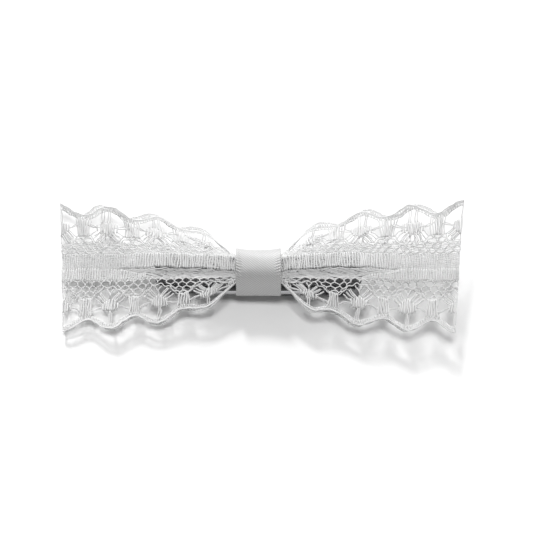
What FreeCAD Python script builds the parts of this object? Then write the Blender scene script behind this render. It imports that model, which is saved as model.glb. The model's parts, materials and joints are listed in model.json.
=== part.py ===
"""Hair bow: one loop of scalloped lace, pinched by a satin band on a spring clip.

Frame, in millimetres: +X runs along the bow towards the clip's thumb levers, +Y across the
lace, +Z up through the face of the bow.  The origin lies under the middle of the knot, at
the height of the lowest point of the closed clip, which is the end of its lower thumb lever.
"""
import FreeCAD, Part
import math
import os
import re

import Sketcher

Vector = FreeCAD.Vector

SIZES = {
    # lace
    "bow_length": 90.0,  # from fold to fold
    "lace_width": 30.0,  # from scallop peak to scallop peak
    "lace_layer": 0.5,
    "scallop_pitch": 11.3,
    "scallop_depth": 2.9,
    "pinch_width": 7.2,  # the gathered lace under the band
    "pinch_height": 3.1,
    "fan_length": 10.0,  # how quickly a wing opens out from the pinch
    "wing_place": 25.0,  # where a wing stands highest
    "wing_height": 9.5,
    "fold_height": 8.0,
    "fold_radius": 0.8,
    # clip
    "clip_length": 46.0,
    "clip_width": 9.2,
    "steel": 0.6,
    "arm_top": 7.0,
    "shoulder_radius": 1.7,
    "flange_bottom": 5.0,
    "flange_front": 13.0,  # how far the flanges reach towards the tip
    "flange_slope": 1.5,
    "tip_width": 6.6,
    "tip_taper": 12.0,
    "tip_radius": 2.2,
    "lever_radius": 3.4,
    "prong_width": 6.4,
    "prong_reach": 22.0,
    "lever_reach": 22.6,
    "jaw_bottom": 2.4,
    "jaw_back": 7.0,  # how far from the middle the toothed walls end
    "jaw_gap": 0.2,  # between the teeth and the upper arm
    "prong_flat": 2.0,
    "belly_bottom": 1.0,
    "belly_front": 6.0,
    "belly_back": 14.0,
    "tooth_pitch": 2.0,
    "tooth_depth": 0.9,
    "tooth_count": 6,
    # hinge
    "pin_place": 10.5,
    "pin_height": 4.0,
    "pin_radius": 0.8,
    "pin_head_radius": 1.3,
    "pin_head": 0.35,
    "ear_radius": 1.9,
    "arm_bore": 0.83,
    "prong_bore": 0.86,
    "wire_radius": 0.28,
    "coil_radius": 1.25,  # from the pin's axis to the middle of the wire
    "coil_turns": 4,
    "spring_leg": 5.5,
    # knot
    "band_width": 10.0,
    "band_sheet": 0.35,
    "band_gap": 0.05,  # between the band and the steel or lace inside it
    "glue_height": 0.5,
    "glue_length": 8.4,
    "glue_width": 6.0,
    "seam_sheet": 0.1,
    "seam_reach": 2.4,  # how far the band's lap passes the middle of the clip
    "thread_width": 2.0,
    "thread_sheet": 0.2,
}
PARTS_FOLDER = "parts"
AXIS_GEOMETRY = -1  # a sketch's own horizontal axis, whose first point is its origin

doc = FreeCAD.newDocument("hair_bow")
sheet = doc.addObject("Spreadsheet::Sheet", "Bow")
for row, (name, number) in enumerate(SIZES.items(), start=1):
    sheet.set(f"A{row}", str(number))
    sheet.setAlias(f"A{row}", name)
doc.recompute()


# ---------------------------------------------------------------- formulas and sketches
def bound(formula):
    """The formula with the sheet's name in front of each of the sheet's aliases."""
    return re.sub(r"[a-z_]+", lambda word: f"Bow.{word[0]}" if word[0] in SIZES else word[0], formula)


def value(formula):
    """What a formula comes to."""
    return float(sheet.evalExpression(bound(formula)))


def bind(thing, **formulas):
    """Tie properties of an object to formulas."""
    for prop, formula in formulas.items():
        thing.setExpression(prop, bound(formula))


def mirrored(corners):
    """The corners, then the same ones with their first coordinate reversed, back to the start."""
    return corners + [(f"-({corner[0]})", *corner[1:]) for corner in reversed(corners)]


def hold(sketch, kind, *where, formula):
    """Add a dimension to a sketch and tie it to a formula."""
    number = sketch.addConstraint(Sketcher.Constraint(kind, *where, value(formula)))
    sketch.setExpression(f"Constraints[{number}]", bound(formula))


def rounding(before, here, after, radius):
    """The arc that rounds a corner, the points where it meets its sides, and if it runs forwards."""
    back, ahead = (before - here).normalize(), (after - here).normalize()
    half_angle = back.getAngle(ahead) / 2
    arrive = here + back * (radius / math.tan(half_angle))
    leave = here + ahead * (radius / math.tan(half_angle))
    centre = here + (back + ahead).normalize() * (radius / math.sin(half_angle))
    forwards = back.cross(ahead).z < 0
    first, last = (arrive, leave) if forwards else (leave, arrive)
    angles = [math.atan2(point.y - centre.y, point.x - centre.x) for point in (first, last)]
    if angles[1] < angles[0]:
        angles[1] += 2 * math.pi
    arc = Part.ArcOfCircle(Part.Circle(centre, Vector(0, 0, 1), radius), *angles)
    return arc, arrive, leave, forwards


def outline(sketch, corners):
    """Draw a closed polygon; a corner is (across, up) or, if it is rounded, (across, up, radius)."""
    places = [Vector(value(corner[0]), value(corner[1]), 0) for corner in corners]
    count = len(corners)
    arrive, leave, rounded = list(places), list(places), {}
    for number, corner in enumerate(corners):
        if len(corner) == 3:
            before, after = places[number - 1], places[(number + 1) % count]
            arc, arrive[number], leave[number], forwards = rounding(
                before, places[number], after, value(corner[2])
            )
            rounded[number] = arc, forwards
    lines = [
        sketch.addGeometry(Part.LineSegment(leave[number], arrive[(number + 1) % count]), False)
        for number in range(count)
    ]
    for number, corner in enumerate(corners):
        before, after = lines[number - 1], lines[number]
        if number in rounded:
            arc, forwards = rounded[number]
            bend = sketch.addGeometry(arc, False)
            first, last = (1, 2) if forwards else (2, 1)
            held = sketch.addGeometry(Part.Point(places[number]), True)
            sketch.addConstraint(Sketcher.Constraint("Tangent", before, 2, bend, first))
            sketch.addConstraint(Sketcher.Constraint("Tangent", after, 1, bend, last))
            sketch.addConstraint(Sketcher.Constraint("PointOnObject", held, 1, before))
            sketch.addConstraint(Sketcher.Constraint("PointOnObject", held, 1, after))
            hold(sketch, "Radius", bend, formula=corner[2])
        else:
            held = after
            sketch.addConstraint(Sketcher.Constraint("Coincident", before, 2, after, 1))
        hold(sketch, "DistanceX", AXIS_GEOMETRY, 1, held, 1, formula=corner[0])
        hold(sketch, "DistanceY", AXIS_GEOMETRY, 1, held, 1, formula=corner[1])


def circle(sketch, across, up, radius):
    """Draw a circle held by formulas."""
    centre = Vector(value(across), value(up), 0)
    ring = sketch.addGeometry(Part.Circle(centre, Vector(0, 0, 1), value(radius)), False)
    hold(sketch, "Radius", ring, formula=radius)
    hold(sketch, "DistanceX", AXIS_GEOMETRY, 1, ring, 3, formula=across)
    hold(sketch, "DistanceY", AXIS_GEOMETRY, 1, ring, 3, formula=up)


def new_body(label):
    """An empty body with its own label and placement."""
    body = doc.addObject("PartDesign::Body", label)
    body.Placement = FreeCAD.Placement()
    return body


def sketch_on(body, role, name):
    """A sketch on one of the body's own origin planes."""
    sketch = body.newObject("Sketcher::SketchObject", name)
    plane = next(item for item in body.Origin.OriginFeatures if item.Role == role)
    sketch.AttachmentSupport = [(plane, "")]
    sketch.MapMode = "FlatFace"
    return sketch


def pad(body, sketch, length):
    """Raise a sketch by the same amount on both sides of its plane."""
    feature = body.newObject("PartDesign::Pad", f"{sketch.Name}_pad")
    feature.Profile = sketch
    feature.SideType = "Symmetric"
    bind(feature, Length=length)
    doc.recompute()
    return feature


def cut(body, sketch, width="2 * bow_length"):
    """Cut a sketch into the body by the same amount on both sides of its plane."""
    before = body.Shape.Volume
    feature = body.newObject("PartDesign::Pocket", f"{sketch.Name}_cut")
    feature.Profile = sketch
    feature.SideType = "Symmetric"
    bind(feature, Length=width)
    doc.recompute()
    if body.Shape.Volume >= before:
        raise RuntimeError(f"{feature.Name} cut nothing")
    return feature


# ---------------------------------------------------------------- the clip
def clip_top_arm():
    """Upper arm: a channel of sheet steel with a tapered tip, a thumb lever and two hinge ears."""
    body = new_body("clip_top_arm")
    channel = sketch_on(body, "YZ_Plane", "arm_channel")
    ear_bottom = "pin_height - ear_radius"
    outline(channel, mirrored([
        ("clip_width / 2", ear_bottom),
        ("clip_width / 2", "arm_top", "shoulder_radius"),
    ]) + mirrored([
        ("steel - clip_width / 2", ear_bottom),
        ("steel - clip_width / 2", "arm_top - steel", "shoulder_radius - steel"),
    ]))
    pad(body, channel, "clip_length")

    side = sketch_on(body, "XZ_Plane", "arm_side")
    under = "arm_top - steel"
    outline(side, [
        ("-clip_length", under),
        ("-flange_front - flange_slope", under),
        ("-flange_front", "flange_bottom"),
        ("pin_place - ear_radius", "flange_bottom"),
        ("pin_place - ear_radius", ear_bottom, "ear_radius - steel"),
        ("pin_place", ear_bottom),
        ("pin_place", "-arm_top"),
        ("-clip_length", "-arm_top"),
    ])
    outline(side, [
        ("clip_length", under),
        ("pin_place + ear_radius + flange_slope", under),
        ("pin_place + ear_radius", "flange_bottom"),
        ("pin_place + ear_radius", ear_bottom, "ear_radius - steel"),
        ("pin_place", ear_bottom),
        ("pin_place", "-arm_top"),
        ("clip_length", "-arm_top"),
    ])
    cut(body, side)

    plan = sketch_on(body, "XY_Plane", "arm_plan")
    outline(plan, [
        ("-clip_length", "-clip_width"),
        ("-clip_length", "clip_width"),
        ("clip_length", "clip_width"),
        ("clip_length", "-clip_width"),
    ])
    outline(plan, [
        ("-clip_length / 2", "tip_width / 2", "tip_radius"),
        ("tip_taper - clip_length / 2", "clip_width / 2"),
        ("clip_length / 2", "clip_width / 2", "lever_radius"),
        ("clip_length / 2", "-clip_width / 2", "lever_radius"),
        ("tip_taper - clip_length / 2", "-clip_width / 2"),
        ("-clip_length / 2", "-tip_width / 2", "tip_radius"),
    ])
    cut(body, plan)

    bore = sketch_on(body, "XZ_Plane", "arm_bores")
    circle(bore, "pin_place", "pin_height", "arm_bore")
    cut(body, bore)
    return body


def clip_prong():
    """Lower jaw: a sprung strip with toothed side walls, two hinge ears and a thumb lever."""
    body = new_body("clip_prong")
    side = sketch_on(body, "XZ_Plane", "prong_side")
    jaw_top = "arm_top - steel - jaw_gap"
    floor = "jaw_bottom + steel"
    belly_floor = "belly_bottom + steel"
    ear_top = "pin_height + ear_radius"
    outline(side, [
        ("-prong_reach", "jaw_bottom", "steel"),
        ("-prong_flat", "jaw_bottom"),
        ("belly_front", "belly_bottom"),
        ("belly_back", "belly_bottom"),
        ("lever_reach", "0"),
        ("lever_reach", "steel"),
        ("belly_back", belly_floor),
        ("pin_place + ear_radius", belly_floor),
        ("pin_place + ear_radius", ear_top, "ear_radius - steel"),
        ("pin_place - ear_radius", ear_top, "ear_radius - steel"),
        ("pin_place - ear_radius", belly_floor),
        ("belly_front", belly_floor),
        ("-prong_flat", floor),
        ("-jaw_back", floor),
        ("-jaw_back - flange_slope", jaw_top),
        ("-prong_reach", jaw_top, "steel"),
    ])
    pad(body, side, "prong_width")

    hollow = sketch_on(body, "XZ_Plane", "prong_hollow")
    outline(hollow, [
        ("-clip_length", floor),
        ("-prong_flat", floor),
        ("belly_front", belly_floor),
        ("belly_back", belly_floor),
        ("belly_back", "clip_length"),
        ("-clip_length", "clip_length"),
    ])
    cut(body, hollow, "prong_width - 2 * steel")

    notch = sketch_on(body, "XZ_Plane", "prong_notch")
    outline(notch, [
        ("-prong_reach + tooth_pitch / 2", "arm_top"),
        ("-prong_reach + tooth_pitch", jaw_top + " - tooth_depth"),
        ("-prong_reach + 3 / 2 * tooth_pitch", "arm_top"),
    ])
    teeth = body.newObject("PartDesign::LinearPattern", "prong_teeth")
    teeth.Originals = [cut(body, notch)]
    teeth.Direction = (notch, ["H_Axis"])
    bind(teeth, Length="(tooth_count - 1) * tooth_pitch", Occurrences="tooth_count")
    body.Tip = teeth

    bore = sketch_on(body, "XZ_Plane", "prong_bores")
    circle(bore, "pin_place", "pin_height", "prong_bore")
    cut(body, bore)
    return body


def hinge_pin():
    """Rivet through the four ears, headed at both ends."""
    body = new_body("hinge_pin")
    half = sketch_on(body, "XY_Plane", "pin_half")
    ear_face = "clip_width / 2 + band_gap"
    outline(half, [
        ("0", f"-({ear_face} + pin_head)"),
        ("pin_head_radius", f"-({ear_face} + pin_head)"),
        ("pin_head_radius", f"-({ear_face})"),
        ("pin_radius", f"-({ear_face})"),
        ("pin_radius", ear_face),
        ("pin_head_radius", ear_face),
        ("pin_head_radius", f"{ear_face} + pin_head"),
        ("0", f"{ear_face} + pin_head"),
    ])
    turned = body.newObject("PartDesign::Revolution", "pin_turned")
    turned.Profile = half
    turned.ReferenceAxis = (half, ["V_Axis"])
    bind(body, **{"Placement.Base.x": "pin_place", "Placement.Base.z": "pin_height"})
    return body


def clip_spring():
    """Torsion spring: a close coil round the pin, with two legs that push the levers apart."""
    radius, wire = value("coil_radius"), value("wire_radius")
    leg, gap = value("spring_leg"), value("band_gap")
    axis = Vector(value("pin_place"), 0, value("pin_height"))
    upper_rest = value("arm_top - steel") - wire - gap
    upper_slope = math.asin((upper_rest - axis.z - radius) / leg)
    lever_drop = math.atan(value("belly_bottom / (lever_reach - belly_back)"))
    lower_start = value("belly_bottom + steel") + wire + gap
    lower_slope = math.asin((axis.z - radius - lower_start) / leg) + lever_drop / 4
    start = math.pi / 2 + lower_slope
    sweep = 2 * math.pi * value("coil_turns") + math.pi - lower_slope - upper_slope
    pitch = 2 * wire + gap
    rise = pitch * sweep / (2 * math.pi)

    coil = Part.Wire(Part.makeHelix(pitch, rise, radius))
    section = Part.Wire(Part.makeCircle(wire, Vector(radius, 0, 0), Vector(0, 1, 0)))
    solid = coil.makePipeShell([section], True, True)
    solid.rotate(Vector(), Vector(0, 0, 1), math.degrees(start))
    solid.translate(Vector(0, 0, -rise / 2))
    solid.rotate(Vector(), Vector(1, 0, 0), -90)
    solid.translate(axis)
    ends = [
        (start, -rise / 2, Vector(math.cos(lower_slope), 0, -math.sin(lower_slope))),
        (start + sweep, rise / 2, Vector(math.cos(upper_slope), 0, math.sin(upper_slope))),
    ]
    for turn, across, direction in ends:
        root = axis + Vector(radius * math.cos(turn), across, -radius * math.sin(turn))
        solid = solid.fuse([Part.makeSphere(wire, root), Part.makeCylinder(wire, leg, root, direction)])
    return solid_part("clip_spring", solid)


# ---------------------------------------------------------------- the lace
def solid_part(label, shape):
    """A sub-part whose solid is made by formula instead of by features."""
    part = doc.addObject("Part::Feature", label)
    part.Shape = shape
    part.Placement = FreeCAD.Placement()
    return part


def lace_edge(place, notch):
    """Half the lace's width at a distance from the knot, less a share of a scallop's depth."""
    pinched = value("pinch_width / 2")
    opened = 1 - math.exp(-(place - value("band_width / 2")) / value("fan_length"))
    spread = value("lace_width / 2") - pinched - notch * value("scallop_depth")
    return pinched + opened * spread


def lace_plan():
    """The bow seen from the front: four scalloped edges between the pinch and the two folds."""
    fold, pitch = value("bow_length / 2"), value("scallop_pitch")
    knot_edge = value("band_width / 2")
    whole_lobes = int((fold - knot_edge) / pitch - 0.5)
    valleys = [fold - pitch * (number + 0.5) for number in range(whole_lobes - 1, -1, -1)]
    stations = [(place, 1.0) for place in [knot_edge] + valleys] + [(fold, 0.0)]
    edges = []
    for side_x, side_y in ((1, 1), (1, -1), (-1, 1), (-1, -1)):
        def corner(place, notch):
            return Vector(side_x * place, side_y * lace_edge(place, notch), 0)

        pinched = Vector(0, side_y * lace_edge(*stations[0]), 0)
        edges.append(Part.LineSegment(pinched, corner(*stations[0])).toShape())
        for (near, near_notch), (far, far_notch) in zip(stations, stations[1:]):
            crown = corner((near + far) / 2, (1 - far_notch) / 4)
            edges.append(Part.Arc(corner(near, near_notch), crown, corner(far, far_notch)).toShape())
        edges.append(Part.LineSegment(corner(fold, 0), Vector(side_x * fold, 0, 0)).toShape())
    return Part.Face(Part.Wire(Part.sortEdges(edges)[0]))


def lace_side():
    """The loop seen from its edge: two layers that part on each wing and meet in the pinch."""
    fold, layer = value("bow_length / 2 - fold_radius"), value("lace_layer")
    middle, radius = value("fold_height"), value("fold_radius")
    crown_place, crown = value("wing_place"), value("wing_height")
    under = value("arm_top + glue_height")
    over = under + value("pinch_height")
    near = value("band_width / 2")
    outer, holes = [], []
    for side in (1, -1):
        outer += [
            Part.LineSegment(Vector(0, 0, under), Vector(side * near, 0, under)),
            Part.LineSegment(Vector(side * near, 0, under), Vector(side * fold, 0, middle - radius)),
            Part.Arc(
                Vector(side * fold, 0, middle - radius),
                Vector(side * (fold + radius), 0, middle),
                Vector(side * fold, 0, middle + radius),
            ),
            Part.Arc(
                Vector(side * fold, 0, middle + radius),
                Vector(side * crown_place, 0, crown),
                Vector(side * near, 0, over),
            ),
            Part.LineSegment(Vector(side * near, 0, over), Vector(0, 0, over)),
        ]
        inner = radius - layer
        parted = near + 5 * layer
        low, high = under + layer, over - layer
        holes.append([
            Part.LineSegment(Vector(side * parted, 0, low), Vector(side * fold, 0, middle - inner)),
            Part.Arc(
                Vector(side * fold, 0, middle - inner),
                Vector(side * (fold + inner), 0, middle),
                Vector(side * fold, 0, middle + inner),
            ),
            Part.Arc(
                Vector(side * fold, 0, middle + inner),
                Vector(side * crown_place, 0, crown - layer),
                Vector(side * parted, 0, high),
            ),
            Part.LineSegment(Vector(side * parted, 0, high), Vector(side * parted, 0, low)),
        ])
    wires = [
        Part.Wire(Part.sortEdges([line.toShape() for line in lines])[0]) for lines in [outer] + holes
    ]
    return Part.Face(wires, "Part::FaceMakerBullseye")


def lace_strip():
    """One strip of lace, folded to a flat loop; its cut ends meet behind the pinch."""
    across, upwards = value("lace_width"), value("2 * wing_height")
    side = lace_side().translated(Vector(0, -across, 0)).extrude(Vector(0, 2 * across, 0))
    plan = lace_plan().extrude(Vector(0, 0, upwards))
    return solid_part("lace_strip", side.common(plan).Solids[0])


# ---------------------------------------------------------------- the knot
def gather_thread():
    """Sewing thread wound round the pinch, as one flat winding."""
    body = new_body("gather_thread")
    ring = sketch_on(body, "YZ_Plane", "thread_ring")
    under, over = "arm_top + glue_height", "arm_top + glue_height + pinch_height"
    for reach in ("band_gap", "band_gap + thread_sheet"):
        outline(ring, mirrored([
            (f"pinch_width / 2 + {reach}", f"{under} - ({reach})"),
            (f"pinch_width / 2 + {reach}", f"{over} + {reach}"),
        ]))
    pad(body, ring, "thread_width")
    return body


def glue_bed():
    """Hot-melt pad between the lace and the clip, grooved where the thread passes."""
    body = new_body("glue_bed")
    side = sketch_on(body, "XZ_Plane", "bed_side")
    groove = "thread_width / 2 + band_gap"
    groove_floor = "arm_top + glue_height - thread_sheet - 2 * band_gap"
    outline(side, mirrored([
        ("glue_length / 2", "arm_top"),
        ("glue_length / 2", "arm_top + glue_height"),
        (groove, "arm_top + glue_height"),
        (groove, groove_floor),
    ]))
    pad(body, side, "glue_width")
    return body


BAND_INSIDE = [
    ("clip_width / 2 + band_gap", "flange_bottom - band_gap"),
    ("clip_width / 2 + band_gap", "arm_top - steel"),
    ("pinch_width / 2 + thread_sheet + 2 * band_gap", "arm_top + glue_height"),
    (
        "pinch_width / 2 + thread_sheet + 2 * band_gap",
        "arm_top + glue_height + pinch_height + thread_sheet + 2 * band_gap",
    ),
]
LAP_TOP = "flange_bottom - band_gap - band_sheet - seam_sheet"


def knot_band():
    """Satin ribbon round the pinch and the upper arm; its end laps over its start, underneath."""
    body = new_body("knot_band")
    ring = sketch_on(body, "YZ_Plane", "band_ring")
    outline(ring, mirrored(BAND_INSIDE))
    (foot_across, foot_up), *walls, (top_across, top_up) = BAND_INSIDE
    outside = [(foot_across, f"{foot_up} - band_sheet"), *walls, (top_across, f"{top_up} + band_sheet")]
    outline(ring, mirrored([(f"{across} + band_sheet", up) for across, up in outside]))
    pad(body, ring, "band_width")

    lap = sketch_on(body, "YZ_Plane", "band_lap")
    wall = "clip_width / 2 + band_gap"
    outline(lap, [
        (wall, f"{LAP_TOP} + seam_sheet"),
        (f"{wall} + band_sheet", f"{LAP_TOP} + seam_sheet"),
        (f"{wall} + band_sheet", f"{LAP_TOP} - band_sheet"),
        ("-seam_reach", f"{LAP_TOP} - band_sheet"),
        ("-seam_reach", LAP_TOP),
        (wall, LAP_TOP),
    ])
    pad(body, lap, "band_width")
    return body


def glue_seam():
    """Hot-melt film in the band's lap."""
    body = new_body("glue_seam")
    film = sketch_on(body, "YZ_Plane", "seam_film")
    outline(film, [
        ("band_sheet - seam_reach", LAP_TOP),
        ("clip_width / 2 + band_gap", LAP_TOP),
        ("clip_width / 2 + band_gap", f"{LAP_TOP} + seam_sheet"),
        ("band_sheet - seam_reach", f"{LAP_TOP} + seam_sheet"),
    ])
    pad(body, film, "band_width - 2 * seam_sheet")
    return body


# ---------------------------------------------------------------- build, test and write
def check(parts):
    """Stop if any object failed, or if a part's shape is empty, broken or in several pieces."""
    for item in doc.Objects:
        if {"Invalid", "Error"} & set(item.State):
            raise RuntimeError(f"{item.Name} failed: {item.State}")
    for part in parts:
        shape = part.Shape
        if shape.isNull() or not shape.isValid() or len(shape.Solids) != 1:
            raise RuntimeError(f"{part.Label} isn't one valid solid")
        print(f"{part.Label}: {shape.Volume:.2f} mm3")


def main():
    parts = [
        clip_top_arm(),
        clip_prong(),
        hinge_pin(),
        clip_spring(),
        lace_strip(),
        gather_thread(),
        glue_bed(),
        knot_band(),
        glue_seam(),
    ]
    doc.recompute()
    check(parts)
    os.makedirs(PARTS_FOLDER, exist_ok=True)
    for part in parts:
        part.Shape.exportStep(os.path.join(PARTS_FOLDER, f"{part.Label}.step"))


main()
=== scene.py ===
"""Hair bow in Blender: thread-by-thread lace, a satin band and a steel spring clip.

Lengths in the lace and the knot are worked out in millimetres, in the frame of the CAD model,
and turned into metres as each mesh is made.
"""
import json
import math

import bpy
import numpy as np
from mathutils import Matrix, Vector


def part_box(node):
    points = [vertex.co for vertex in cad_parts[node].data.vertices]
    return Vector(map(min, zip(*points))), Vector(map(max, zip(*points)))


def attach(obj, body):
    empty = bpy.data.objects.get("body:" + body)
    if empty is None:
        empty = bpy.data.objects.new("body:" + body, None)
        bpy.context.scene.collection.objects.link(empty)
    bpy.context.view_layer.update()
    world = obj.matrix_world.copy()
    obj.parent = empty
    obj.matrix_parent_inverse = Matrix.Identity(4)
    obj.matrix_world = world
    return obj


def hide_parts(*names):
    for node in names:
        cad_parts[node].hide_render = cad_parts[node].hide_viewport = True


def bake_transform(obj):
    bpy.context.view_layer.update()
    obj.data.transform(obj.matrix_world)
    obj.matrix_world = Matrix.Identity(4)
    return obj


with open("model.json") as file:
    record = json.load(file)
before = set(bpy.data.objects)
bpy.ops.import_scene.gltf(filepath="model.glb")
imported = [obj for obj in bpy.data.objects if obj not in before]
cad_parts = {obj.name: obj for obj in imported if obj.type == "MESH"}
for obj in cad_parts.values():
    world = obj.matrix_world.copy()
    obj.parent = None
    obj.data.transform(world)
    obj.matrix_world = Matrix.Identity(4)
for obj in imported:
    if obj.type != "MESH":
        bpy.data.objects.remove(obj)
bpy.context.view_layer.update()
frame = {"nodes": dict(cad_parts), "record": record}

MM = 0.001


def box_mm(node):
    """A node's lowest and highest corners in millimetres."""
    low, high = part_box(node)
    return np.round(np.array(low) / MM, 3), np.round(np.array(high) / MM, 3)


LACE_HIGH = box_mm("lace_strip")[1]
BAND_LOW, BAND_HIGH = box_mm("knot_band")
THREAD_LOW, THREAD_HIGH = box_mm("gather_thread")
ARM_HIGH = box_mm("clip_top_arm")[1]
PRONG_LOW, PRONG_HIGH = box_mm("clip_prong")
MOUNTS = {mount["name"]: mount for mount in frame["record"]["mounts"]}
JAW_BOTTOM = MOUNTS["prong_underside"]["pos_m"][2] / MM

# ---------------------------------------------------------------- how the lace lies
# A point of the flat strip is (s, v): s runs out from the knot along the front layer, round the
# fold at the bow's end and back along the back layer, and v runs across from the centre line.
HALF_LACE = LACE_HIGH[1]  # the scallops' peaks on the flat strip
HALF_BOW = LACE_HIGH[0]
KNOT_EDGE = BAND_HIGH[0]
HIDDEN_START = KNOT_EDGE - 1.5  # where the threads begin, under the band
FOLD_RADIUS = 0.5
FOLD_START = HALF_BOW - FOLD_RADIUS
FOLD_LENGTH = math.pi * FOLD_RADIUS
FOLD_MIDDLE = FOLD_START + FOLD_LENGTH / 2
STRIP_END = 2 * FOLD_MIDDLE - HIDDEN_START
CENTRE_SIDE = 1.0  # the open wings' centre line lies this far back
HALVES_BLEND = 3.0  # the front half's opening passes into the back half's this far to each side
LEVEL_MIDDLE = 2  # the strip hangs from this far to each side of its centre line
HANG_POWER = 1.2  # above 1: the lace hangs more steeply towards its edges
WIDTH_SHARES = (0.965, 1.01)  # the lace's width over the clip and beyond it, to its flat width
RIPPLE_HEIGHT = 0.15
RIPPLE_WAVES = (0.37, 0.21)  # radians a millimetre, along the strip and across it

CREASE = -0.7  # the pressed crease, a little in front of the centre line
RIDGE_HEIGHT = ARM_HIGH[2] + 1.9  # the ridge behind the crease, where the clip holds it up
STEP_DOWN = 0.8  # how far the lace drops in front of the crease
STEP_WIDTH = 1.8
STEP_MIDDLE = -1.0
STEP_REACH = 4.0  # near the step, this far to each side of it,
STEP_SLOWNESS = 0.8  # the gathers die away more slowly, by this share

CLIP_END = ARM_HIGH[0]  # beyond it the lace has nothing under it
FREE_START = CLIP_END - 4  # from here the lace leaves the clip's height
FREE_END = CLIP_END + 11  # and from here it lies at its own
FREE_HEIGHT = ARM_HIGH[2] - 0.05  # the front layer beyond the clip

BACK_SHIFT = 0.45  # the back layer lies this far behind the front one
BACK_LEAN = 0.07  # and is folded over at this small slant to it,
LEAN_GROWS = 9  # which grows over this length from the fold
LEAN_ENDS = 15  # and fades from here to the knot
BACK_SLOWNESS = 0.85
BACK_GATHER = 0.23  # the back layer's width at the knot, to its flat width
PLEAT_RISE = 0.85  # the back layer's pleats at the knot, above the clip's arm
PLEAT_DEPTH = 0.2
PLEAT_GAP = 7.5

# How the gathers lie where they leave the knot: across the flat strip, then the place and the
# height of each of those lines.  Behind the crease the lace rises and faces forwards, and in front
# of it the lace turns down and under.
GATHER_FLAT = np.array([-15.0, -11.0, -7.0, -3.0, -1.5, CREASE, 3.0, 7.0, 11.0, 15.0])
GATHER_SIDE = np.array([-3.3, -3.0, -2.6, -2.1, -1.7, -1.4, 1.7, 2.5, 2.9, 3.1])
GATHER_RISE = np.array([7.9, 8.3, 8.6, 8.9, 9.3, 9.9, 11.0, 10.2, 9.2, 8.4])


class Wing:
    """How one wing lies: the way it points, how slowly its two halves open, and its bends."""

    def __init__(self, way, opening, hang, tip, twist, end):
        self.way = way
        self.opening = opening  # how slowly the front and back halves open
        self.hang = hang  # how far the front and back edges hang below the ridge
        self.tip = tip  # how far the end's middle and its back edge stand above the free height
        self.twist = twist  # how steeply the end rises towards the back
        self.short, self.slant = end  # how its fold stops short, and how it leans


WINGS = {
    "left": Wing(
        -1, opening=(8.8, 11.0), hang=(2.1, 0.9), tip=(-0.4, 1.9), twist=0.05, end=(1.3, 0.05)
    ),
    "right": Wing(
        1, opening=(8.2, 8.0), hang=(2.6, 1.6), tip=(0.7, 0.6), twist=0.18, end=(0.5, 0.09)
    ),
}


def mix(low, high, share):
    return low + (high - low) * share


def step(value, start, end):
    """0 before the start, 1 after the end, and a smooth rise between them."""
    share = np.clip((value - start) / (end - start), 0, 1)
    return share * share * (3 - 2 * share)


def opened(wing, x, v, slowness):
    """How far a wing has opened at a distance from the knot: 0 at the knot, 1 where it is flat."""
    half = np.clip((v + HALVES_BLEND) / (2 * HALVES_BLEND), 0, 1)
    length = mix(*wing.opening, half) * slowness
    return 1 - np.exp(-np.maximum(x - KNOT_EDGE, 0) / length)


def open_lace(wing, x, v):
    """Sideways place and height of the front layer, away from the knot's gathers."""
    free = step(x, FREE_START, FREE_END)
    outwards = np.clip((np.abs(v) - LEVEL_MIDDLE) / (HALF_LACE - LEVEL_MIDDLE), 0, 1) ** HANG_POWER
    front_hang, back_hang = wing.hang
    held = RIDGE_HEIGHT - STEP_DOWN * step(-v, -CREASE, STEP_WIDTH - CREASE)
    held -= np.where(v < 0, front_hang, back_hang) * outwards
    middle, back_edge = wing.tip
    far = np.clip((x - FREE_END) / (HALF_BOW - FREE_END), 0, 1)
    loose = FREE_HEIGHT + middle * far ** 2 + np.where(v < 0, 0, back_edge) * outwards
    twist = wing.twist * (x / HALF_BOW) ** 2 * v
    along, across = RIPPLE_WAVES
    ripple = RIPPLE_HEIGHT * np.sin(x * along + v * across + wing.way)
    side = CENTRE_SIDE + v * mix(*WIDTH_SHARES, free)
    return side, mix(held, loose, free) + twist + ripple


def front_layer(wing, x, v):
    side, height = open_lace(wing, x, v)
    near = np.exp(-((v - STEP_MIDDLE) / STEP_REACH) ** 2)
    slowness = 1 + STEP_SLOWNESS * near
    return (
        mix(np.interp(v, GATHER_FLAT, GATHER_SIDE), side, opened(wing, x, v, 1)),
        mix(np.interp(v, GATHER_FLAT, GATHER_RISE), height, opened(wing, x, v, slowness)),
    )


def back_layer(wing, x, v):
    side, height = open_lace(wing, x, v)
    share = opened(wing, x, v, BACK_SLOWNESS)
    pleat = ARM_HIGH[2] + PLEAT_RISE + PLEAT_DEPTH * np.cos(v * 2 * math.pi / PLEAT_GAP)
    return (
        mix(BACK_GATHER * v, side + BACK_SHIFT, share),
        mix(pleat, height - 2 * FOLD_RADIUS, share),
    )


def surface(wing, s, v):
    """The place in space of a point of the flat strip."""
    behind = s >= FOLD_START + FOLD_LENGTH
    x_front = np.minimum(s, FOLD_START)
    x_back = np.minimum(2 * FOLD_START + FOLD_LENGTH - s, FOLD_START)
    lean = step(FOLD_START - x_back, 0, LEAN_GROWS) * step(x_back, KNOT_EDGE, LEAN_ENDS)
    x_back = x_back + BACK_LEAN * v * lean
    side_front, height_front = front_layer(wing, x_front, v)
    side_back, height_back = back_layer(wing, x_back, v)
    turn = np.clip((s - FOLD_START) / FOLD_RADIUS, 0, math.pi)
    x = np.where(behind, x_back, x_front) + FOLD_RADIUS * np.sin(turn)
    side = mix(side_front, side_back, turn / math.pi)
    height = mix(height_front, height_back, 0.5 * (1 - np.cos(turn)))
    shift = (wing.slant * side - wing.short) * (x / HALF_BOW) ** 2
    return np.stack([wing.way * (x + shift), side, height], axis=-1)


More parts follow.
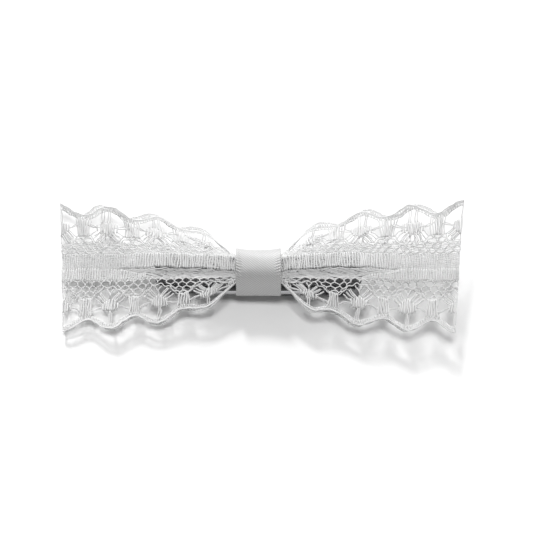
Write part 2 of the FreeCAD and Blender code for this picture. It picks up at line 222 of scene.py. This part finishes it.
# ---------------------------------------------------------------- threads
THREAD_STEP = 0.45  # between the points along a lace thread
THREAD_FLATNESS = 0.7
THREAD_SIDES = 5

# The uneven pulls in real lace: how closely their waves follow one another, in radians a
# millimetre, and how far they go.
PULLS = ((0.9, 0.14), (2.3, 0.09))
PULL_SLANTS = (0.7, 0.8)  # how the waves of the pulls along the strip and across it lean
PULL_ACROSS = 0.8  # the pulls across the strip, to those along it


def new_piece(name, points, faces):
    """A smooth mesh object from points in millimetres."""
    mesh = bpy.data.meshes.new(name)
    mesh.from_pydata((points * MM).tolist(), [], faces)
    mesh.shade_smooth()
    piece = bpy.data.objects.new(name, mesh)
    bpy.context.scene.collection.objects.link(piece)
    return piece


def tube(centre, across, normal, width, flatness, sides):
    """Rings of points round a line, and the faces between them, closed at both ends."""
    angles = np.arange(sides) * 2 * math.pi / sides
    ring = (
        np.cos(angles)[None, :, None] * across[:, None, :]
        + flatness * np.sin(angles)[None, :, None] * normal[:, None, :]
    )
    points = (centre[:, None, :] + ring * width / 2).reshape(-1, 3)
    lows = (np.arange(len(centre) - 1) * sides)[:, None]
    corner = np.arange(sides)[None, :]
    after = (corner + 1) % sides
    walls = np.stack([lows + corner, lows + after, lows + sides + after, lows + sides + corner], axis=-1)
    last = (len(centre) - 1) * sides
    caps = [tuple(reversed(range(sides))), tuple(range(last, last + sides))]
    return points, [tuple(face) for face in walls.reshape(-1, 4).tolist()] + caps


def frame_of(centre, normal):
    """Unit vectors across a line and out of the surface that it lies on."""
    tangent = np.gradient(centre, axis=0)
    across = np.cross(normal, tangent)
    across /= np.linalg.norm(across, axis=1, keepdims=True)
    normal = np.cross(tangent, across)
    return across, normal / np.linalg.norm(normal, axis=1, keepdims=True)


class Tubes:
    """Collects tubes into one mesh, in millimetres."""

    def __init__(self):
        self.points, self.faces, self.count = [], [], 0

    def add(self, centre, across, normal, width, flatness, sides):
        points, faces = tube(centre, across, normal, width, flatness, sides)
        self.points.append(points)
        self.faces += [tuple(self.count + corner for corner in face) for face in faces]
        self.count += len(points)

    def piece(self, name):
        return new_piece(name, np.concatenate(self.points), self.faces)


class Lace(Tubes):
    """One stretch of the strip, whose threads follow its surface."""

    def __init__(self, wing, start, end, seed):
        super().__init__()
        self.wing, self.start, self.end = wing, start, end
        self.rng = np.random.default_rng(seed)

    def jitter(self, reach):
        """A random small distance, up to the given reach either way."""
        return self.rng.uniform(-reach, reach)

    def pulled(self, s, v):
        """Where a point of the even pattern lies in real, unevenly pulled lace."""
        out = s - FOLD_MIDDLE
        slant_along, slant_across = PULL_SLANTS
        for waves, reach in PULLS:
            turn = self.wing.way + 1 / waves
            along = np.sin(np.abs(out) * waves + v * slant_along * waves + turn)
            across = np.sin(v * waves - np.abs(out) * slant_across * waves + 2 * turn)
            out, v = out + reach * along * np.sign(out), v + PULL_ACROSS * reach * across
        return FOLD_MIDDLE + out, v

    def thread(self, s, v, width, lift=0.0):
        """A thread through the points (s, v) of the flat strip, cut to this stretch."""
        s, v = np.asarray(s, float), np.asarray(v, float)
        total = np.concatenate([[0], np.cumsum(np.hypot(np.diff(s), np.diff(v)))])
        places = np.linspace(0, total[-1], max(int(total[-1] / THREAD_STEP) + 2, len(s)))
        s, v = self.pulled(np.interp(places, total, s), np.interp(places, total, v))
        inside = (s >= self.start) & (s <= self.end)
        if inside.sum() < 2:
            return
        s, v = s[inside], v[inside]
        centre = surface(self.wing, s, v)
        along_s = surface(self.wing, s + 0.05, v) - surface(self.wing, s - 0.05, v)
        along_v = surface(self.wing, s, v + 0.05) - surface(self.wing, s, v - 0.05)
        normal = np.cross(along_s, along_v) * self.wing.way
        normal /= np.linalg.norm(normal, axis=1, keepdims=True)
        across, normal = frame_of(centre, normal)
        self.add(centre + lift * normal, across, normal, width, THREAD_FLATNESS, THREAD_SIDES)


# ---------------------------------------------------------------- the lace's pattern
PITCH = 11.3  # one scallop
SCALLOP_DEPTH = 2.4
PAST_PEAK = 0.3  # the fold lies this far past a scallop's peak

PLACE_JITTER = 0.08  # how unevenly the ladder's and the edge band's bars are spaced

LONG_STEP = 0.2  # between the points of the threads that run the whole length
WOBBLE = 0.03
WOBBLE_WAVES = 5.1  # radians a millimetre

EDGE_BAND = 1.0  # from the cordonnet in to the edge band's inner thread
EDGE_THREADS = ((0.0, 0.34), (-0.32, 0.2), (-EDGE_BAND, 0.2))  # place from the edge, and width
EDGE_BAR = 0.27
EDGE_BAR_GAP = 0.48
EDGE_BAR_LEAN = 0.12
EDGE_BAR_SIZES = (0.75, 1.2)  # the thinnest and the thickest, to EDGE_BAR

ARCH_VALLEY = 7.9  # the arch's place in a valley
ARCH_RISE = 3.2  # and how far it comes in at a peak
ARCH_POWER = 0.8  # below 1, so that it is broader at the peaks than in the valleys
ARCH_THREAD = 0.24
ARCH_ZIGZAG = 0.28

LADDER_TOP = 3.0  # the ladder runs from the centre line to here
LADDER_THREAD = 0.16
LADDER_GAP = 0.56
LADDER_BARS = (0.26, 0.4)  # thinnest and thickest
BARS_START = CLIP_END + 2  # beyond it the crease opens and shows the ladder's front half
BARS_GROW = 9  # the length over which the crease opens
BARS_THINNED = 0.45  # the share that the bars behind the crease lose there
BACK_BARS_FOOT = CREASE + 0.1
FRONT_BARS_HEAD = (-1.3, 0.3)  # from the crease, where it begins to open and where it is open
FRONT_BARS_FOOT = -LADDER_TOP - 0.2

FILAMENT_STEP = 0.35
FILAMENT_DRIFT = 0.1
FILAMENT_WAVES = (1.5, 3)  # radians a millimetre
FILAMENT_TURN = 6  # they start anywhere in a wave
BEHIND_CREASE = (np.arange(CREASE + 0.6, 2 * LADDER_TOP, 0.4), 0.13)  # filaments' lines, and width
BEFORE_CREASE = (np.arange(-LADDER_TOP - 0.3, CREASE, 0.26), 0.21)

NET_START = LADDER_TOP + 0.45
NET_ROW = 1.15
NET_ROWS = 3
NET_SLOPE = 0.3  # how far a zigzag swings to each side of its row
NET_CELLS = 6  # cells along one scallop
NET_THREAD = 0.24
NET_TIE = 0.3
NET_CLEAR = 0.2  # what the rows leave free before the arch,
TIE_CLEAR = 0.38  # and the ties between them

# A flower's thick bars, as a place from its middle, a foot and a head, and its thin rays.
FLOWER_BARS = ((0.0, 7.4, 10.7), (0.55, 7.8, 10.6), (1.1, 8.2, 10.5), (1.7, 8.6, 10.3))
FLOWER_BAR_WIDTHS = (0.32, 0.46)
FLOWER_JITTER = 0.09
FLOWER_UNEVEN = 0.2  # how much a bar's foot and head vary
FLOWER_RAYS = (
    ((0.0, 7.5), (0.0, 6.4), (0.75, 5.2)),
    ((0.5, 8.0), (1.3, 6.9), (1.9, 6.0)),
    ((0.8, 8.2), (1.6, 7.1), (2.2, 6.2)),
    ((1.2, 8.4), (2.1, 7.5), (2.8, 6.8)),
    ((1.7, 8.9), (2.6, 8.2), (3.4, 7.4)),
    ((1.9, 9.4), (3.2, 9.7), (4.6, 10.4)),
    ((0.2, 10.6), (0.25, 12.2), (0.2, 14.2)),
)
FLOWER_RAY = 0.24

PILLAR_PLACES = (-1.0, -0.5, 0.0, 0.5, 1.0)
PILLAR_FOOT = 7.4
PILLAR_WAIST = 9.5  # the bars flare beyond it,
PILLAR_FLARE = 0.3  # each by this share of its place
PILLAR_BARS = (0.26, 0.38)
PILLAR_JITTER = 0.06


def phase(s):
    """Place along the scallop, from -PITCH/2 to PITCH/2, with 0 at its peak."""
    return (s - FOLD_MIDDLE + PAST_PEAK + PITCH / 2) % PITCH - PITCH / 2


def bump(s):
    """1 at a scallop's peak, 0 in the valley beside it."""
    return 0.5 + 0.5 * np.cos(2 * math.pi * phase(s) / PITCH)


def edge(s):
    return HALF_LACE - SCALLOP_DEPTH * (1 - bump(s))


def inner_edge(s):
    return edge(s) - EDGE_BAND


def arch(s):
    """The wavy band between the net and the flowers."""
    return ARCH_VALLEY - ARCH_RISE * bump(s) ** ARCH_POWER


def peaks(start, end):
    """The scallops' peaks between two places."""
    first = math.floor((start - FOLD_MIDDLE) / PITCH)
    last = math.ceil((end - FOLD_MIDDLE) / PITCH) + 1
    return [FOLD_MIDDLE - PAST_PEAK + PITCH * number for number in range(first, last + 1)]


def long_threads(lace, half):
    """The threads that run the whole length: the ladder's rail, the arch and the scalloped edge."""
    s = np.arange(lace.start, lace.end + LONG_STEP, LONG_STEP)
    wobble = WOBBLE * np.sin(s * WOBBLE_WAVES)
    lace.thread(s, half * (LADDER_TOP + wobble), LADDER_THREAD)
    zigzag = ARCH_ZIGZAG * np.sin(phase(s) * 2 * math.pi * NET_CELLS / PITCH)
    lace.thread(s, half * (arch(s) + zigzag), ARCH_THREAD, lift=0.03)
    for offset, width in EDGE_THREADS:
        lace.thread(s, half * (edge(s) + offset + wobble), width, lift=0.04)


def filaments(lace, levels, width):
    """Fine filaments that run along the strip and wander a little."""
    s = np.arange(lace.start, lace.end + FILAMENT_STEP, FILAMENT_STEP)
    for level in levels:
        waves = lace.rng.uniform(*FILAMENT_WAVES)
        turn = lace.rng.uniform(0, FILAMENT_TURN)
        drift = FILAMENT_DRIFT * np.sin(s * waves + turn)
        lace.thread(s, level + drift, width, lift=-0.03)


def edge_bars(lace, half):
    """Short bars at nearly even gaps across the edge band."""
    for place in np.arange(lace.start, lace.end, EDGE_BAR_GAP):
        s = place + lace.jitter(PLACE_JITTER)
        lean = lace.jitter(EDGE_BAR_LEAN)
        foot, head = half * inner_edge(s), half * edge(s)
        size = EDGE_BAR * lace.rng.uniform(*EDGE_BAR_SIZES)
        lace.thread([s, s + lean, s], [foot, (foot + head) / 2, head], size, lift=0.02)


def ladder(lace):
    """Bars on both sides of the crease: bold behind it near the clip, bold in front of it beyond."""
    for place in np.arange(lace.start, lace.end, LADDER_GAP):
        s = place + lace.jitter(PLACE_JITTER)
        size = lace.rng.uniform(*LADDER_BARS)
        beyond = step(FOLD_MIDDLE - abs(s - FOLD_MIDDLE), BARS_START, BARS_START + BARS_GROW)
        thinned = size * (1 - BARS_THINNED * beyond)
        lace.thread([s, s], [BACK_BARS_FOOT, LADDER_TOP], thinned, lift=0.02)
        if beyond > 0:
            head = CREASE + mix(*FRONT_BARS_HEAD, beyond)
            lace.thread([s, s], [head, FRONT_BARS_FOOT], size, lift=0.05)


def net(lace, half):
    """Rows of hexagonal cells between the ladder and the arch."""
    cell = PITCH / NET_CELLS
    for row in range(NET_ROWS + 1):
        level = NET_START + NET_ROW * row
        stagger = cell / 2 * (row % 2)
        for number in range(int(lace.start / cell) - 1, int(lace.end / cell) + 2):
            left = number * cell + stagger
            middle = left + cell / 2
            for foot, head, reach in ((left, middle, 1), (middle, left + cell, -1)):
                low, high = level + NET_SLOPE * reach, level - NET_SLOPE * reach
                if max(low, high) < arch((foot + head) / 2) - NET_CLEAR:
                    lace.thread([foot, head], [half * low, half * high], NET_THREAD)
            below = level + NET_SLOPE
            above = min(level + NET_ROW - NET_SLOPE, arch(left) - TIE_CLEAR)
            if above > below:
                lace.thread([left, left], [half * below, half * above], NET_TIE)


def flower(lace, half, peak):
    """A flower under a scallop's peak: a head of thick bars with thin rays round it."""
    for side in (-1, 1):
        for place, low, high in FLOWER_BARS:
            if place > 0 or side > 0:
                s = peak + side * (place + lace.jitter(FLOWER_JITTER))
                low, high = low + lace.jitter(FLOWER_UNEVEN), high + lace.jitter(FLOWER_UNEVEN)
                width = lace.rng.uniform(*FLOWER_BAR_WIDTHS)
                lace.thread([s, s], [half * low, half * high], width, lift=0.04)
        for ray in FLOWER_RAYS:
            s = [peak + side * place for place, _ in ray]
            lace.thread(s, [half * height for _, height in ray], FLOWER_RAY, lift=0.02)


def pillar(lace, half, valley):
    """Bars that flare from the arch to the edge band, between two flowers."""
    for place in PILLAR_PLACES:
        s = valley + place + lace.jitter(PILLAR_JITTER)
        head = inner_edge(s) + 0.1
        size = lace.rng.uniform(*PILLAR_BARS)
        heights = [half * PILLAR_FOOT, half * PILLAR_WAIST, half * head]
        lace.thread([s, s, s + PILLAR_FLARE * place], heights, size, lift=0.03)


def strip(name, wing, start, end, seed):
    """One stretch of lace with its whole pattern on both sides of the centre line."""
    lace = Lace(wing, start, end, seed)
    ladder(lace)
    filaments(lace, *BEHIND_CREASE)
    filaments(lace, *BEFORE_CREASE)
    for half in (1, -1):
        long_threads(lace, half)
        edge_bars(lace, half)
        net(lace, half)
        for peak in peaks(start, end):
            flower(lace, half, peak)
            pillar(lace, half, peak + PITCH / 2)
    return lace.piece(name)


# ---------------------------------------------------------------- the knot
BAND_SHEET = 0.3
BAND_FLARE = 0.35  # how far the band's woven edges stand out past its middle
FLARE_START = 0.9  # the lap below this height stays flat
FLARE_GROWS = 1.5  # and the flare is complete this much higher
FLARE_EVEN = 0.4  # about the flare's mean, taken away so that the band stays near its path
RIB_GAP = 0.62
RIB_HEIGHT = 0.11
RIB_SLANT = 1.6  # how far a rib runs round the band on its way in from the edge
RIBS_START = 0.7  # the ribs' inner ends, as a share of the band's half width,
RIBS_GROW = 0.15  # and how quickly they rise
RIBS_PLACE = -1.0  # the ribs lie on top of the knot, about here across it
RIBS_REACH = 2.2
RIBS_BOTTOM = 3.5
SELVEDGE_PLACE = 0.93
SELVEDGE_WIDTH = 0.03
SELVEDGE_HEIGHT = 0.03
ACROSS_STEPS = 60
AROUND_STEPS = 330

# The band's path seen along the bow: how far across, and how high above the band's lowest face.
# It starts inside the lap, goes under the clip, up the front, over the gathers and down the back.
BAND_PATH = (
    (4.3, 0.62), (0.0, 0.62), (-4.25, 0.62), (-4.8, 1.2), (-4.5, 2.6), (-3.95, 4.1), (-3.25, 5.35),
    (-2.3, 6.4), (-1.0, 6.98), (1.2, 7.08), (2.8, 6.7), (3.85, 5.9), (4.45, 4.6), (4.75, 3.0),
    (4.8, 1.3), (4.75, 0.5), (4.2, 0.18), (0.0, 0.18), (-2.3, 0.18),
)

WINDINGS = 9
WINDING_THREAD = 0.22
WINDING_BACK = 0.3  # the windings' middle lies this far behind the thread's own,
WINDING_INSIDE = (0.7, 0.2)  # and they keep this far inside it across and in height


def smooth_line(points, count):
    """Even points along a Catmull-Rom curve through the given ones, and the curve's length."""
    points = np.array(points, float)
    ends = np.vstack([2 * points[0] - points[1], points, 2 * points[-1] - points[-2]])
    dense = []
    for before, start, end, after in zip(ends, ends[1:], ends[2:], ends[3:]):
        share = np.linspace(0, 1, 40, endpoint=False)[:, None]
        dense.append(0.5 * (
            2 * start + (end - before) * share
            + (2 * before - 5 * start + 4 * end - after) * share ** 2
            + (3 * start - before - 3 * end + after) * share ** 3
        ))
    dense = np.vstack(dense + [points[-1:]])
    length = np.concatenate([[0], np.cumsum(np.linalg.norm(np.diff(dense, axis=0), axis=1))])
    places = np.linspace(0, length[-1], count)
    return np.stack([np.interp(places, length, column) for column in dense.T], axis=-1), length[-1]


def band_lift(path, around, reach):
    """How far the band stands out from its path: flared edges, ribs on top and the selvedge."""
    above = np.clip((path[:, 1] - FLARE_START) / FLARE_GROWS, 0, 1)
    on_top = np.exp(-((path[:, 0] - RIBS_PLACE) / RIBS_REACH) ** 2)
    on_top = on_top * np.clip(path[:, 1] - RIBS_BOTTOM, 0, 1)
    pucker = np.clip((reach - RIBS_START) / RIBS_GROW, 0, 1)
    ribs = np.sin((around[:, None] + RIB_SLANT * (1 - reach)) * 2 * math.pi / RIB_GAP)
    selvedge = np.exp(-((reach - SELVEDGE_PLACE) / SELVEDGE_WIDTH) ** 2)
    return (
        above[:, None] * BAND_FLARE * (reach ** 2 - FLARE_EVEN)
        + RIB_HEIGHT * ribs * pucker * on_top[:, None]
        + SELVEDGE_HEIGHT * selvedge
    )


def knot_band():
    """Satin ribbon: a sheet wrapped round the gathers and the clip, puckered at its woven edges."""
    path, length = smooth_line(BAND_PATH, AROUND_STEPS)
    tangent = np.gradient(path, axis=0)
    tangent /= np.linalg.norm(tangent, axis=1, keepdims=True)
    outward = np.stack([-tangent[:, 1], tangent[:, 0]], axis=-1)
    around = np.linspace(0, length, AROUND_STEPS)
    half_width = KNOT_EDGE - 0.05
    across = np.linspace(-half_width, half_width, ACROSS_STEPS)
    lift = band_lift(path, around, np.abs(across) / half_width)
    points = np.empty((AROUND_STEPS, ACROSS_STEPS, 3))
    points[:, :, 0] = across
    points[:, :, 1:] = path[:, None, :] + outward[:, None, :] * lift[:, :, None]
    points[:, :, 2] += BAND_LOW[2]
    corner = np.arange(AROUND_STEPS * ACROSS_STEPS).reshape(AROUND_STEPS, ACROSS_STEPS)
    faces = np.stack([corner[:-1, :-1], corner[:-1, 1:], corner[1:, 1:], corner[1:, :-1]], axis=-1)
    band = new_piece("satin_band", points.reshape(-1, 3), faces.reshape(-1, 4).tolist())
    flat = np.zeros_like(points)
    flat[:, :, 0] = across
    flat[:, :, 1] = around[:, None]
    cloth = band.data.attributes.new("cloth", "FLOAT_VECTOR", "POINT")
    cloth.data.foreach_set("vector", flat.ravel())
    sheet = band.modifiers.new("sheet", "SOLIDIFY")
    sheet.thickness = BAND_SHEET * MM
    sheet.offset = 0
    return band, length


def wound_thread():
    """Sewing thread wound round the gathers as a tight helix."""
    turn = np.linspace(0, WINDINGS * 2 * math.pi, WINDINGS * 64)
    middle = (THREAD_LOW + THREAD_HIGH) / 2
    reach = (THREAD_HIGH - THREAD_LOW) / 2 - WINDING_THREAD / 2
    inside_across, inside_height = WINDING_INSIDE
    cosine, sine = np.cos(turn), np.sin(turn)
    centre = np.stack([
        middle[0] + reach[0] * (2 * turn / turn[-1] - 1),
        middle[1] + WINDING_BACK + (reach[1] - inside_across) * cosine,
        middle[2] + (reach[2] - inside_height) * sine,
    ], axis=-1)
    outward = np.stack([0 * turn, cosine, sine], axis=-1)
    across, normal = frame_of(centre, outward)
    winding = Tubes()
    winding.add(centre, across, normal, WINDING_THREAD, flatness=1.0, sides=8)
    return winding.piece("wound_thread")


def torsion_spring():
    """The CAD model's spring, as a piece of its own."""
    source = frame["nodes"]["clip_spring"]
    spring = bpy.data.objects.new("torsion_spring", source.data.copy())
    spring.matrix_world = source.matrix_world.copy()
    spring.data.materials.clear()
    bpy.context.scene.collection.objects.link(spring)
    return spring


def wear(node, material):
    """Give a CAD node's object its material."""
    target = frame["nodes"][node]
    target.data.materials.clear()
    target.data.materials.append(material)


# ---------------------------------------------------------------- materials
# Bump distances are in metres.  Gaps and noise scales go by metres too, except on the band, whose
# flat coordinates are in millimetres.
def new_material(name, colour, roughness, **settings):
    """A material whose plain values stand on the shader's own sockets."""
    material = bpy.data.materials.new(name)
    material.use_nodes = True
    shader = material.node_tree.nodes["Principled BSDF"]
    shader.inputs["Base Color"].default_value = (*colour, 1)
    shader.inputs["Roughness"].default_value = roughness
    for socket, number in settings.items():
        shader.inputs[socket.replace("_", " ")].default_value = number
    return material, material.node_tree, shader


def coordinates(tree, kind="Object"):
    return tree.nodes.new("ShaderNodeTexCoord").outputs[kind]


def cloth_coordinates(tree):
    """The band's own coordinates on its flat ribbon."""
    node = tree.nodes.new("ShaderNodeAttribute")
    node.attribute_name = "cloth"
    return node.outputs["Vector"]


def noise(tree, place, scale, detail=3.0, stretch=(1, 1, 1)):
    mapping = tree.nodes.new("ShaderNodeMapping")
    mapping.inputs["Scale"].default_value = stretch
    tree.links.new(place, mapping.inputs["Vector"])
    texture = tree.nodes.new("ShaderNodeTexNoise")
    texture.inputs["Scale"].default_value = scale
    texture.inputs["Detail"].default_value = detail
    tree.links.new(mapping.outputs["Vector"], texture.inputs["Vector"])
    return texture.outputs["Fac"]


def wave(tree, place, degrees, gap, distortion=0.0):
    """Even lines, turned about the third axis, a gap apart."""
    mapping = tree.nodes.new("ShaderNodeMapping")
    mapping.inputs["Rotation"].default_value = (0, 0, math.radians(degrees))
    mapping.inputs["Scale"].default_value = (1 / gap,) * 3
    tree.links.new(place, mapping.inputs["Vector"])
    texture = tree.nodes.new("ShaderNodeTexWave")
    texture.inputs["Scale"].default_value = math.pi / 10  # one line to a unit
    texture.inputs["Distortion"].default_value = distortion
    tree.links.new(mapping.outputs["Vector"], texture.inputs["Vector"])
    return texture.outputs["Fac"]


def ramp(tree, factor, *stops):
    """A colour or grey that runs from one stop to the other; each is a place and a colour."""
    node = tree.nodes.new("ShaderNodeValToRGB")
    for element, (place, colour) in zip(node.color_ramp.elements, stops):
        element.position = place
        element.color = (*colour, 1) if isinstance(colour, tuple) else (colour, colour, colour, 1)
    tree.links.new(factor, node.inputs["Fac"])
    return node.outputs["Color"]


def maths(tree, operation, *values):
    """The result of a Math node on other nodes' outputs and plain numbers."""
    node = tree.nodes.new("ShaderNodeMath")
    node.operation = operation
    for socket, value in zip(node.inputs, values):
        if isinstance(value, float):
            socket.default_value = value
        else:
            tree.links.new(value, socket)
    return node.outputs["Value"]


def bump_from(tree, shader, height, strength, distance):
    node = tree.nodes.new("ShaderNodeBump")
    node.inputs["Strength"].default_value = strength
    node.inputs["Distance"].default_value = distance
    tree.links.new(height, node.inputs["Height"])
    tree.links.new(node.outputs["Normal"], shader.inputs["Normal"])


def lace_material():
    """Bleached polyester: matt white filaments with a slight silky edge and uneven whiteness."""
    material, tree, shader = new_material(
        "lace_thread", (0.75, 0.75, 0.75), 0.62, Sheen_Weight=0.1, Sheen_Roughness=0.4
    )
    place = coordinates(tree)
    shade = noise(tree, place, scale=350)
    tree.links.new(ramp(tree, shade, (0.3, 0.7), (0.7, 0.8)), shader.inputs["Base Color"])
    fibres = noise(tree, place, scale=14000, stretch=(1, 0.3, 1))
    bump_from(tree, shader, fibres, strength=0.4, distance=0.00003)
    return material


def satin_material():
    """Satin weave: floats that shine along the ribbon, with a fine diagonal twill in them."""
    material, tree, shader = new_material(
        "satin_ribbon", (0.56, 0.56, 0.56), 0.32, Sheen_Weight=0.1, Sheen_Roughness=0.3,
        Anisotropic=0.5, Specular_IOR_Level=1.0,
    )
    place = cloth_coordinates(tree)
    twill = wave(tree, place, degrees=38, gap=0.31)
    counter = wave(tree, place, degrees=-52, gap=0.43, distortion=0.8)
    weave = maths(tree, "MULTIPLY", twill, counter)
    tree.links.new(ramp(tree, weave, (0.0, 0.42), (0.6, 0.64)), shader.inputs["Base Color"])
    fuzz = noise(tree, place, scale=6)
    tree.links.new(ramp(tree, fuzz, (0.3, 0.36), (0.7, 0.5)), shader.inputs["Roughness"])
    bump_from(tree, shader, weave, strength=0.5, distance=0.00006)
    return material


def thread_material():
    """Twisted sewing thread."""
    material, tree, shader = new_material("sewing_thread", (0.8, 0.8, 0.79), 0.6, Sheen_Weight=0.2)
    twist = wave(tree, coordinates(tree), degrees=50, gap=0.00018)
    tree.links.new(ramp(tree, twist, (0.0, 0.66), (1.0, 0.84)), shader.inputs["Base Color"])
    bump_from(tree, shader, twist, strength=0.5, distance=0.00004)
    return material


def chrome_material():
    """Bright nickel plate with rubbed patches and hair-fine scratches."""
    material, tree, shader = new_material("nickel_plate", (0.42, 0.42, 0.43), 0.1, Metallic=1.0)
    place = coordinates(tree)
    rubbed = noise(tree, place, scale=420, detail=6)
    tree.links.new(ramp(tree, rubbed, (0.35, 0.07), (0.75, 0.24)), shader.inputs["Roughness"])
    tone = noise(tree, place, scale=160)
    colour = ramp(tree, tone, (0.3, (0.38, 0.38, 0.39)), (0.7, (0.46, 0.46, 0.47)))
    tree.links.new(colour, shader.inputs["Base Color"])
    scratches = noise(tree, place, scale=2600, detail=2, stretch=(0.04, 1, 1))
    bump_from(tree, shader, scratches, strength=0.08, distance=0.00002)
    return material


def wire_material(name, tone, roughness):
    """Drawn steel wire, with fine lines round it from the die."""
    material, tree, shader = new_material(name, (tone, tone, tone), roughness, Metallic=1.0)
    drawn = noise(tree, coordinates(tree), scale=3500, detail=4, stretch=(1, 0.08, 1))
    rough = ramp(tree, drawn, (0.3, roughness * 0.7), (0.7, roughness * 1.5))
    tree.links.new(rough, shader.inputs["Roughness"])
    bump_from(tree, shader, drawn, strength=0.15, distance=0.00002)
    return material


def glue_material():
    """Milky hot-melt glue with a soft uneven gloss."""
    material, tree, shader = new_material(
        "hot_melt_glue", (0.8, 0.79, 0.74), 0.3, Subsurface_Weight=0.3, Coat_Weight=0.2,
    )
    shader.inputs["Subsurface Radius"].default_value = (0.001, 0.001, 0.0008)
    place = coordinates(tree)
    cloud = noise(tree, place, scale=500)
    colour = ramp(tree, cloud, (0.3, (0.74, 0.73, 0.68)), (0.7, (0.84, 0.83, 0.79)))
    tree.links.new(colour, shader.inputs["Base Color"])
    bump_from(tree, shader, noise(tree, place, scale=1200), strength=0.3, distance=0.0001)
    return material


def paper_material():
    """The pale floor."""
    material, tree, shader = new_material("floor_paper", (0.93, 0.93, 0.93), 0.9, Specular_IOR_Level=0.1)
    grain = noise(tree, coordinates(tree), scale=900)
    tree.links.new(ramp(tree, grain, (0.2, 0.925), (0.8, 0.935)), shader.inputs["Base Color"])
    return material


# ---------------------------------------------------------------- build
def build_lace():
    """Four stretches of the one strip: the front and the back layer of each wing."""
    material = lace_material()
    layers = (("front", HIDDEN_START, FOLD_MIDDLE), ("back", FOLD_MIDDLE, STRIP_END))
    stretches = [(label, *layer) for label in WINGS for layer in layers]
    for seed, (label, layer, start, end) in enumerate(stretches, start=1):
        piece = strip(f"lace_{layer}_{label}", WINGS[label], start, end, seed)
        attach(piece, "bow")
        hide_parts("lace_strip")
        piece.data.materials.append(material)


def build_knot():
    """The satin band and the wound thread under it."""
    band, band_length = knot_band()
    band.data.materials.append(satin_material())
    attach(band, "bow")
    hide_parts("knot_band")

    winding = wound_thread()
    winding.data.materials.append(thread_material())
    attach(winding, "bow")
    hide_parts("gather_thread")


def build_clip():
    """The plated arms, the rivet, the spring and the glue."""
    chrome = chrome_material()
    glue = glue_material()
    wear("clip_top_arm", chrome)
    wear("clip_prong", chrome)
    wear("hinge_pin", wire_material("rivet_wire", tone=0.56, roughness=0.25))
    wear("glue_bed", glue)
    wear("glue_seam", glue)

    spring = torsion_spring()
    spring.data.materials.append(wire_material("spring_wire", tone=0.5, roughness=0.3))
    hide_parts("clip_spring")
    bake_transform(spring)


# ---------------------------------------------------------------- floor, light and camera
FLOOR_SIZE = 4
WORLD_STRENGTH = 1.95

VIEW_WIDTH = 0.1184  # how much of the target's plane the picture takes in
ELEVATION = math.radians(65)
DISTANCE = 0.45
TARGET = Vector((0, 0, 0.00683))
SENSOR_WIDTH = 36
SHIFT_X, SHIFT_Y = 0.015, 0.0103


def lay_floor():
    """The table: the clip lies on it with its thumb lever's end and the tip of its jaw."""
    bpy.ops.mesh.primitive_plane_add(size=FLOOR_SIZE)
    floor = bpy.context.object
    floor.name = "floor"
    floor.location = (PRONG_HIGH[0] * MM, 0, 0)
    floor.rotation_euler = (0, math.atan2(JAW_BOTTOM, PRONG_HIGH[0] - PRONG_LOW[0]), 0)
    floor.data.materials.append(paper_material())


def soft_lamp(name, towards, strength, spread):
    """Even light from one direction, with the soft edges of a lamp so many degrees wide."""
    light = bpy.data.lights.new(name, "SUN")
    light.energy = strength
    light.angle = math.radians(spread)
    lamp = bpy.data.objects.new(name, light)
    lamp.rotation_euler = Vector(towards).to_track_quat("Z", "Y").to_euler()
    bpy.context.scene.collection.objects.link(lamp)
    return lamp


def hang_lamps():
    """One soft lamp overhead, and one behind the bow that throws its shadow forwards."""
    overhead = soft_lamp("overhead", towards=(0, 0, 1), strength=1.6, spread=20)
    overhead.visible_glossy = False  # the clip's plate doesn't mirror it
    soft_lamp("behind", towards=(-0.28, 1.22, 1), strength=1.7, spread=9)


def studio():
    """Soft surroundings: bright low down behind the bow, dark overhead and in front."""
    world = bpy.data.worlds.new("studio")
    world.use_nodes = True
    tree = world.node_tree
    direction = tree.nodes.new("ShaderNodeSeparateXYZ")
    tree.links.new(coordinates(tree, "Generated"), direction.inputs["Vector"])
    backwards = maths(tree, "MULTIPLY_ADD", direction.outputs["Y"], 0.5, 0.5)
    behind = ramp(tree, backwards, (0.1, 0.1), (0.9, 1.0))
    low = ramp(tree, direction.outputs["Z"], (0.0, 1.0), (0.9, 0.06))
    product = tree.nodes.new("ShaderNodeMix")
    product.data_type = "RGBA"
    product.blend_type = "MULTIPLY"
    product.inputs["Factor"].default_value = 1
    tree.links.new(behind, product.inputs[6])  # colour A
    tree.links.new(low, product.inputs[7])  # colour B
    background = tree.nodes["Background"]
    tree.links.new(product.outputs[2], background.inputs["Color"])
    background.inputs["Strength"].default_value = WORLD_STRENGTH
    return world


def place_camera():
    """A camera in front of the bow, looking down on it from well above."""
    towards = Vector((0, -math.cos(ELEVATION), math.sin(ELEVATION)))
    right = Vector((1, 0, 0))
    up = towards.cross(right)
    place = TARGET + towards * DISTANCE
    lens = bpy.data.cameras.new("camera")
    lens.sensor_width = SENSOR_WIDTH
    lens.lens = SENSOR_WIDTH * DISTANCE / VIEW_WIDTH
    lens.shift_x = SHIFT_X
    lens.shift_y = SHIFT_Y
    lens.clip_start = 0.01
    camera = bpy.data.objects.new("camera", lens)
    camera.matrix_world = Matrix([
        (right[row], up[row], towards[row], place[row]) for row in range(3)
    ] + [(0, 0, 0, 1)])
    bpy.context.scene.collection.objects.link(camera)
    bpy.context.scene.camera = camera


build_lace()
build_knot()
build_clip()
lay_floor()
hang_lamps()
place_camera()
bpy.context.scene.world = studio()
bpy.context.scene.view_settings.view_transform = "Standard"
